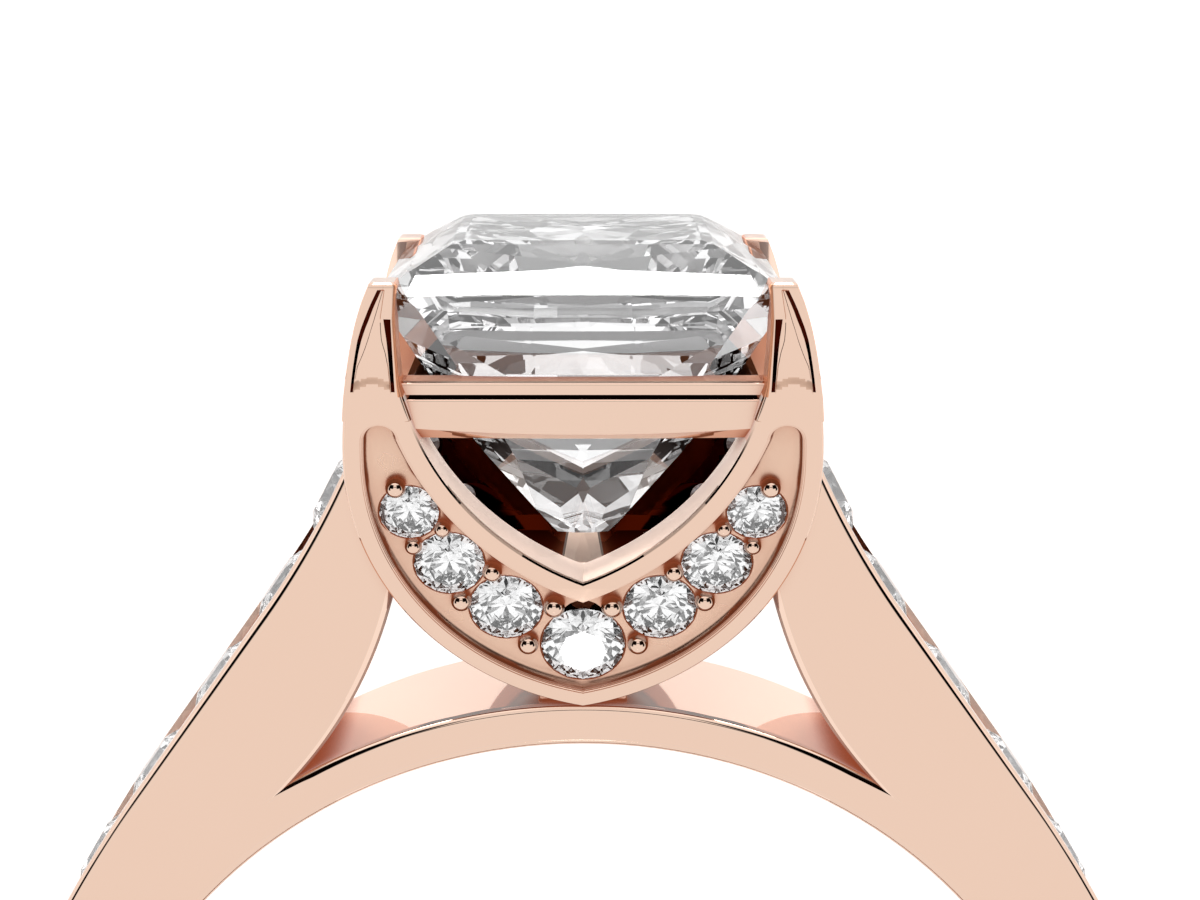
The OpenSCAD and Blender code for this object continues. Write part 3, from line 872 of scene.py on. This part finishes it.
def sparkle_group():
    """What a diamond shows through its facets: the light and dark patches of a room."""
    group = bpy.data.node_groups.new("room patches", "ShaderNodeTree")
    group.interface.new_socket("Vector", in_out="INPUT", socket_type="NodeSocketVector")
    scale = group.interface.new_socket("Scale", in_out="INPUT", socket_type="NodeSocketFloat")
    scale.default_value = 3.2
    group.interface.new_socket("Level", in_out="OUTPUT", socket_type="NodeSocketFloat")
    source = node(group, "NodeGroupInput")
    result = node(group, "NodeGroupOutput")
    cells = node(group, "ShaderNodeTexVoronoi")
    group.links.new(source.outputs["Vector"], cells.inputs["Vector"])
    group.links.new(source.outputs["Scale"], cells.inputs["Scale"])
    shade = node(group, "ShaderNodeSeparateColor")
    group.links.new(cells.outputs["Color"], shade.inputs["Color"])
    level = ranged(group, shade.outputs["Red"], start=(0.10, 0.88), end=(0.06, 1.0), kind="SMOOTHSTEP")
    group.links.new(level, result.inputs["Level"])
    return group


def soften(tree, mask, rough, shader, amount):
    """Blurs what one piece shows of another, as fine wear does, and keeps the piece itself sharp."""
    tree.links.new(maths(tree, "MULTIPLY_ADD", mask, amount, rough), shader.inputs["Roughness"])


def new_material(name):
    """A material, its nodes and its shader."""
    material = bpy.data.materials.new(name)
    material.use_nodes = True
    return material, material.node_tree, material.node_tree.nodes["Principled BSDF"]


CLEAN_GOLD = (0.850, 0.618, 0.492)
SMUDGED_GOLD = (0.835, 0.600, 0.474)
NOOK_SHADE_GOLD = (0.30, 0.085, 0.040, 1)   # painted shade: darker and redder gold where metal faces metal
NOOK_REACH = 0.0004                   # metres
BEHIND_STONE = (0.78, 0.77, 0.77, 1)  # as seen through a diamond


def rose_gold(name, wear, echo=(0.30, 0.11, 0.05, 1), rough=(0.02, 0.06), shade_darkening=1.0, mirror=1.0,
              lit=0.0, glow=(0.80, 0.64, 0.56), nook_glow=0.15):
    """Rose gold, with painted shade where metal faces metal. echo is its painted tone where other gold
    mirrors it, deeper darkens and reddens it as painted shade, mirror weakens its reflections, and lit,
    glow and nook_glow are painted light that it gives off by itself."""
    material, tree, metal = new_material(name)
    metal.inputs["Metallic"].default_value = 1.0
    metal.inputs["Emission Strength"].default_value = 1.0
    marks = node(tree, "ShaderNodeGroup", node_tree=wear)
    fade = (mirror * shade_darkening, mirror * shade_darkening ** 1.8, mirror * shade_darkening ** 2.5)
    clean, smudged = [(*[part * loss for part, loss in zip(hue, fade)], 1)
                      for hue in (CLEAN_GOLD, SMUDGED_GOLD)]
    tone = mixed(tree, marks.outputs["Smudges"], clean, smudged)
    # Painted shade: where metal faces metal the gold turns darker and redder, and its painted glow turns
    # dim red
    shade = node(tree, "ShaderNodeAmbientOcclusion", samples=6, Distance=NOOK_REACH)
    open_sky = ranged(tree, shade.outputs["AO"], start=(0.12, 0.92), kind="SMOOTHSTEP")
    nook = mixed(tree, open_sky, NOOK_SHADE_GOLD, tone)
    painted_glow = mixed(tree, open_sky, (nook_glow, 0.28 * nook_glow, 0.12 * nook_glow, 1),
                   (*[lit * part for part in glow], 1))
    ray = node(tree, "ShaderNodeLightPath")
    calm = mixed(tree, ray.outputs["Transmission Depth"], painted_glow, (*[0.3 * lit] * 3, 1))
    tree.links.new(calm, metal.inputs["Emission Color"])
    # Painted reflection: where other gold mirrors this one, it shows the echo tone
    inside = mixed(tree, ray.outputs["Is Glossy Ray"], nook, echo)
    through = mixed(tree, ray.outputs["Transmission Depth"], inside, BEHIND_STONE)
    tree.links.new(through, metal.inputs["Base Color"])
    smudges = ranged(tree, marks.outputs["Smudges"], end=rough)
    hairlines = ranged(tree, marks.outputs["Hairlines"], end=(0, 0.02))
    soften(tree, ray.outputs["Is Glossy Ray"], maths(tree, "ADD", smudges, hairlines), metal, amount=0.45)
    bump = node(tree, "ShaderNodeBump", Strength=0.05, Distance=2e-7)
    tree.links.new(marks.outputs["Hairlines"], bump.inputs["Height"])
    tree.links.new(bump.outputs["Normal"], metal.inputs["Normal"])
    return material


def diamond(name, wear, scale):
    """Clear stone, blurred where polished metal mirrors it."""
    material, tree, stone = new_material(name)
    stone.inputs["IOR"].default_value = 2.417
    stone.inputs["Transmission Weight"].default_value = 1.0
    marks = node(tree, "ShaderNodeGroup", node_tree=wear)
    marks.inputs["Hairline Scale"].default_value = scale
    tone = mixed(tree, marks.outputs["Smudges"], (1, 1, 1, 1), (0.985, 0.985, 0.99, 1))
    tree.links.new(tone, stone.inputs["Base Color"])
    ray = node(tree, "ShaderNodeLightPath")
    face = node(tree, "ShaderNodeNewGeometry")
    in_metal = maths(tree, "SUBTRACT", ray.outputs["Is Glossy Ray"], face.outputs["Backfacing"],
                     use_clamp=True)
    smudges = ranged(tree, marks.outputs["Smudges"], end=(0, 0.003))
    soften(tree, in_metal, smudges, stone, amount=0.35)
    return material


def pale_floor(patches):
    """A plain white floor, painted with the light and dark patches of a room where it shows through a
    diamond.
    """
    material, tree, floor = new_material("pale floor")
    floor.inputs["Roughness"].default_value = 0.9
    floor.inputs["Emission Strength"].default_value = 0.7
    place = node(tree, "ShaderNodeTexCoord")
    grain = node(tree, "ShaderNodeTexNoise", Scale=900.0, Detail=3.0)
    tree.links.new(place.outputs["Object"], grain.inputs["Vector"])
    tone = mixed(tree, grain.outputs["Fac"], (0.90, 0.90, 0.90, 1), (0.93, 0.93, 0.93, 1))
    cells = node(tree, "ShaderNodeGroup", node_tree=patches)
    cells.inputs["Scale"].default_value = 150.0
    tree.links.new(place.outputs["Object"], cells.inputs["Vector"])
    ray = node(tree, "ShaderNodeLightPath")
    glow = mixed(tree, ray.outputs["Is Camera Ray"], (0.55, 0.55, 0.55, 1), (1, 1, 1, 1))
    for colour, socket in ((tone, "Base Color"), (glow, "Emission Color")):
        through = mixed(tree, ray.outputs["Transmission Depth"], colour, cells.outputs["Level"])
        tree.links.new(through, floor.inputs[socket])
    return material


# Studio

# The studio by degrees around the upright ring, seen from its middle: side is
# the turn from the front and rise the height above level, each as the two ends
# of a zone, or its one end, and then the softness of its border.
WINGS = {"rise": (3, 44, 3), "side": (19, 74, 3)}
STRIP = {"rise": (19, 25.5, 1), "side": (20, 3)}
FLANKS = {"rise": (-17, 6, 2), "side": (55, 78, 3)}
OVERHEAD = {"high": (58, 4), "more": 0.3}
SPOT = {"rise": -51.4, "radius": 0.9, "soft": 0.00003, "more": 5.0}
FIRE = 1.15   # the brightest patch that a diamond shows


def studio_light(patches):
    """A white studio with dark zones beside and above the camera, brighter far above the head and with one
    small spot below."""
    world = bpy.data.worlds.new("studio")
    bpy.context.scene.world = world
    world.use_nodes = True
    tree = world.node_tree
    tree.nodes.clear()
    link = tree.links.new
    result = node(tree, "ShaderNodeOutputWorld")
    light = node(tree, "ShaderNodeBackground", Color=(1, 1, 1, 1))
    link(light.outputs["Background"], result.inputs["Surface"])
    way = node(tree, "ShaderNodeTexCoord")
    upright = node(tree, "ShaderNodeMapping")
    upright.inputs["Rotation"].default_value = (math.radians(90 - TILT), 0, 0)
    link(way.outputs["Generated"], upright.inputs["Vector"])
    parts = node(tree, "ShaderNodeSeparateXYZ")
    link(upright.outputs["Vector"], parts.inputs["Vector"])

    def step(value, edge, soft):
        return ranged(tree, value, start=(edge - soft, edge + soft), kind="SMOOTHSTEP")

    def between(value, low, high, soft):
        return maths(tree, "SUBTRACT", step(value, low, soft), step(value, high, soft))

    across, ahead, up = parts.outputs["X"], parts.outputs["Y"], parts.outputs["Z"]
    forward = maths(tree, "MULTIPLY", ahead, -1.0)
    high = maths(tree, "DEGREES", maths(tree, "ARCTAN2", up, forward))
    side = maths(tree, "DEGREES", maths(tree, "ARCTAN2", maths(tree, "ABSOLUTE", across), forward))
    rise = maths(tree, "DEGREES", maths(tree, "ARCSINE", up))
    wings = maths(tree, "MULTIPLY", between(rise, *WINGS["rise"]), between(side, *WINGS["side"]))
    in_front = maths(tree, "SUBTRACT", 1.0, step(side, *STRIP["side"]))
    strip = maths(tree, "MULTIPLY", between(rise, *STRIP["rise"]), in_front)
    flanks = maths(tree, "MULTIPLY", between(rise, *FLANKS["rise"]), between(side, *FLANKS["side"]))
    dark = maths(tree, "MAXIMUM", maths(tree, "MAXIMUM", wings, strip), flanks)
    panel = maths(tree, "MULTIPLY", step(high, *OVERHEAD["high"]), OVERHEAD["more"])
    spot_way = math.radians(SPOT["rise"])
    towards = maths(tree, "ADD", maths(tree, "MULTIPLY", forward, math.cos(spot_way)),
                    maths(tree, "MULTIPLY", up, math.sin(spot_way)))
    spot_edge = step(towards, math.cos(math.radians(SPOT["radius"])), SPOT["soft"])
    spot = maths(tree, "MULTIPLY", spot_edge, SPOT["more"])
    room = maths(tree, "ADD", maths(tree, "SUBTRACT", 1.0, dark), panel)
    level = maths(tree, "ADD", room, spot)
    cells = node(tree, "ShaderNodeGroup", node_tree=patches)
    link(upright.outputs["Vector"], cells.inputs["Vector"])
    fire = maths(tree, "MULTIPLY", cells.outputs["Level"], FIRE)
    ray = node(tree, "ShaderNodeLightPath")
    link(mixed(tree, ray.outputs["Transmission Depth"], level, fire, "FLOAT"), light.inputs["Strength"])


# Metres and degrees; the lens in millimetres
CAMERA_PLACE = (0, 0.015176, 0.039163)
CAMERA_TILT = -8.614
SENSOR_WIDTH = 36
LENS = 66.86
SHIFT_PIXELS = 17
PICTURE_WIDTH = 1200
SOFTBOX_PLACE = (0, 0.028, 0.0045)
SOFTBOX_SIZE = (0.034, 0.0075)
SOFTBOX_WATTS = 0.0065


def set_camera():
    select_none()
    bpy.ops.object.camera_add(location=CAMERA_PLACE, rotation=(math.radians(CAMERA_TILT), 0, 0))
    camera = bpy.context.object
    camera.name = "camera"
    camera.data.sensor_width = SENSOR_WIDTH
    camera.data.lens = LENS
    camera.data.shift_x = SHIFT_PIXELS / PICTURE_WIDTH
    camera.data.clip_start = 0.001
    camera.data.clip_end = 10
    bpy.context.scene.camera = camera


def add_softbox():
    """A long softbox standing on the floor behind the large diamond, outside the picture."""
    select_none()
    bpy.ops.object.light_add(type="AREA", location=SOFTBOX_PLACE, rotation=(math.radians(-90), 0, 0))
    softbox = bpy.context.object
    softbox.name = "softbox"
    softbox.data.shape = "RECTANGLE"
    softbox.data.size, softbox.data.size_y = SOFTBOX_SIZE
    softbox.data.energy = SOFTBOX_WATTS
    softbox.visible_camera = False
    softbox.visible_diffuse = False
    softbox.visible_transmission = False


def lay_floor(patches):
    select_none()
    bpy.ops.mesh.primitive_plane_add(size=2, location=(0, 0, 0))
    floor = bpy.context.object
    floor.name = "floor"
    floor.data.materials.append(pale_floor(patches))


# Assembly

def paint(piece, material, wanted):
    """Gives the faces that wanted() picks, by place and direction, a material of their own."""
    piece.data.materials.append(material)
    slot = len(piece.data.materials) - 1
    for face in piece.data.polygons:
        if wanted(face.center, face.normal):
            face.material_index = slot


def finish_piece(piece, name, material, angle=28, others=()):
    """others: further materials, each with a test on a face's place and direction in the upright ring."""
    piece.name = piece.data.name = name
    piece.data.materials.clear()
    piece.data.materials.append(material)
    for extra, wanted in others:
        paint(piece, extra, wanted)
    put(piece, LAID)
    select_only(piece)
    bpy.ops.object.shade_smooth_by_angle(angle=math.radians(angle))
    modifier = piece.modifiers.new("flat faces", "WEIGHTED_NORMAL")
    modifier.weight = 100
    modifier.keep_sharp = True
    bpy.ops.object.modifier_apply(modifier=modifier.name)
    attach(piece, "root")
    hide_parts("ring_setting")
    return piece


set_camera()
add_softbox()
wear = polish_group()
patches = sparkle_group()
studio_light(patches)
lay_floor(patches)
gold = rose_gold("polished rose gold", wear)
# Painted shade: near black inside the head, also where other gold mirrors it
inside_shade_gold = rose_gold("rose gold in painted shade inside the head", wear, echo=(0.04, 0.012, 0.006, 1), shade_darkening=0.06,
                       nook_glow=0.02)
# Satin finish in a crescent's recess, and painted shade: a little darker and redder there
satin_shade_gold = rose_gold("satin rose gold, painted a little darker in the recess", wear, rough=(0.22, 0.34), shade_darkening=0.93)
soft_gold = rose_gold("softly shaded rose gold", wear, rough=(0.28, 0.36), shade_darkening=0.95, mirror=0.55,
                      lit=0.33, glow=(0.86, 0.52, 0.36))
# Painted light: the flat faces mirror half as much and glow by themselves instead
face_glow_gold = rose_gold("rose gold of the flat faces, with painted glow", wear, mirror=0.5, lit=0.5, glow=(0.85, 0.60, 0.47))
shaded_gold = rose_gold("rose gold under the diamond", wear, rough=(0.15, 0.3), shade_darkening=0.62,
                        lit=0.5, glow=(0.55, 0.22, 0.12))
window_gold = rose_gold("rose gold lit through the window", wear, lit=0.7)
# Painted light: the backs of the prongs beside the large diamond glow by themselves
tip_glow_gold = rose_gold("rose gold of the far prongs, with painted glow", wear, lit=0.3)
# Painted light: a shoulder's channel glows by itself
row_glow_gold = rose_gold("rose gold beside the diamonds, with painted glow", wear, lit=0.3)
# Painted light: the top of the bridge glows pale by itself
bridge_glow_gold = rose_gold("rose gold of the bridge, with painted glow", wear, lit=0.38, glow=(0.75, 0.66, 0.62))
# Painted light: a glow of its own, and a pale painted tone where the bridge mirrors it
arm_glow_gold = rose_gold("rose gold beside the bridge", wear, echo=(0.70, 0.42, 0.30, 1), lit=0.15)
deep_gold = rose_gold("rose gold in deep shade", wear, echo=(0.02, 0.006, 0.003, 1), shade_darkening=0.04,
                      nook_glow=0.0)
large = diamond("large diamond", wear, 5000.0)
small = diamond("small diamonds", wear, 9000.0)

finish_piece(make_band(), "band", gold,
             others=[(face_glow_gold, on_band_face), (row_glow_gold, in_channel), (arm_glow_gold, on_arm),
                     (inside_shade_gold, faces_inwards), (bridge_glow_gold, on_bridge)])

panel = put(make_panel(), ON_PANEL)
prong = make_prong()
prongs = [prong, copy_at(prong, TO_LEFT)]
crescent = join("crescent", [panel] + prongs)
back_crescent = copy_at(crescent, TO_BACK)
for piece, name in ((crescent, "front_crescent"), (back_crescent, "back_crescent")):
    finish_piece(piece, name, gold, angle=24,
                 others=[(inside_shade_gold, faces_inwards), (face_glow_gold, on_crescent_face),
                         (satin_shade_gold, in_recess), (window_gold, on_window_wall), (deep_gold, in_pocket),
                         (soft_gold, on_ledge), (deep_gold, in_flute), (shaded_gold, beside_stone),
                         (arm_glow_gold, on_rib), (tip_glow_gold, back_of_tip)])

beads = []
for x, up, d in PANEL_BEADS:
    bead = make_bead(d)
    for side in (1, -1):
        beads.append(copy_at(bead, ON_PANEL @ Matrix.Translation((side * x, up, BEAD_RISE - RECESS))))
    bpy.data.objects.remove(bead)
front_beads = join("front_beads", beads)
back_beads = copy_at(front_beads, TO_BACK)
finish_piece(front_beads, "front_beads", gold, angle=60)
finish_piece(back_beads, "back_beads", gold, angle=60)

rail = make_rail("rail", GALLERY_Y, GALLERY_LONG)
side_rail = make_rail("side_rail", GALLERY_X, GALLERY_LONG)
put(side_rail, Matrix.Rotation(math.radians(90), 4, "Z"))
rails = [rail, copy_at(rail, TO_BACK), side_rail, copy_at(side_rail, TO_LEFT)]
finish_piece(join("gallery", rails), "gallery_rails", gold,
             others=[(inside_shade_gold, faces_inwards), (deep_gold, in_rail_groove),
                     (shaded_gold, on_rail_top)])

foot = make_block("foot", size=(1.44, 2.72, 0.78), middle=(0, 0, 9.35), edge=0.06)
tie = make_block("tie", size=(0.42, 4.6, 1.1), middle=(3.16, 0, 12.70), edge=0.05)
finish_piece(join("supports", [foot, tie, copy_at(tie, TO_LEFT)]), "head_supports", gold,
             others=[(inside_shade_gold, faces_inwards)])

stone = make_large_diamond()
stone.name = stone.data.name = "large_diamond"
put(stone, LAID)
stone.data.materials.append(large)
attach(stone, "root")
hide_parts("centre_diamond")

# The small diamonds keep the shape that the CAD gives them
for name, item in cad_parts.items():
    if "diamond" in name and name != "centre_diamond":
        item.data.materials.clear()
        item.data.materials.append(small)

# Enough bounces for light that crosses several diamonds
scene = bpy.context.scene
scene.view_settings.view_transform = "Standard"
scene.cycles.max_bounces = 32
scene.cycles.transmission_bounces = 24
scene.cycles.glossy_bounces = 8
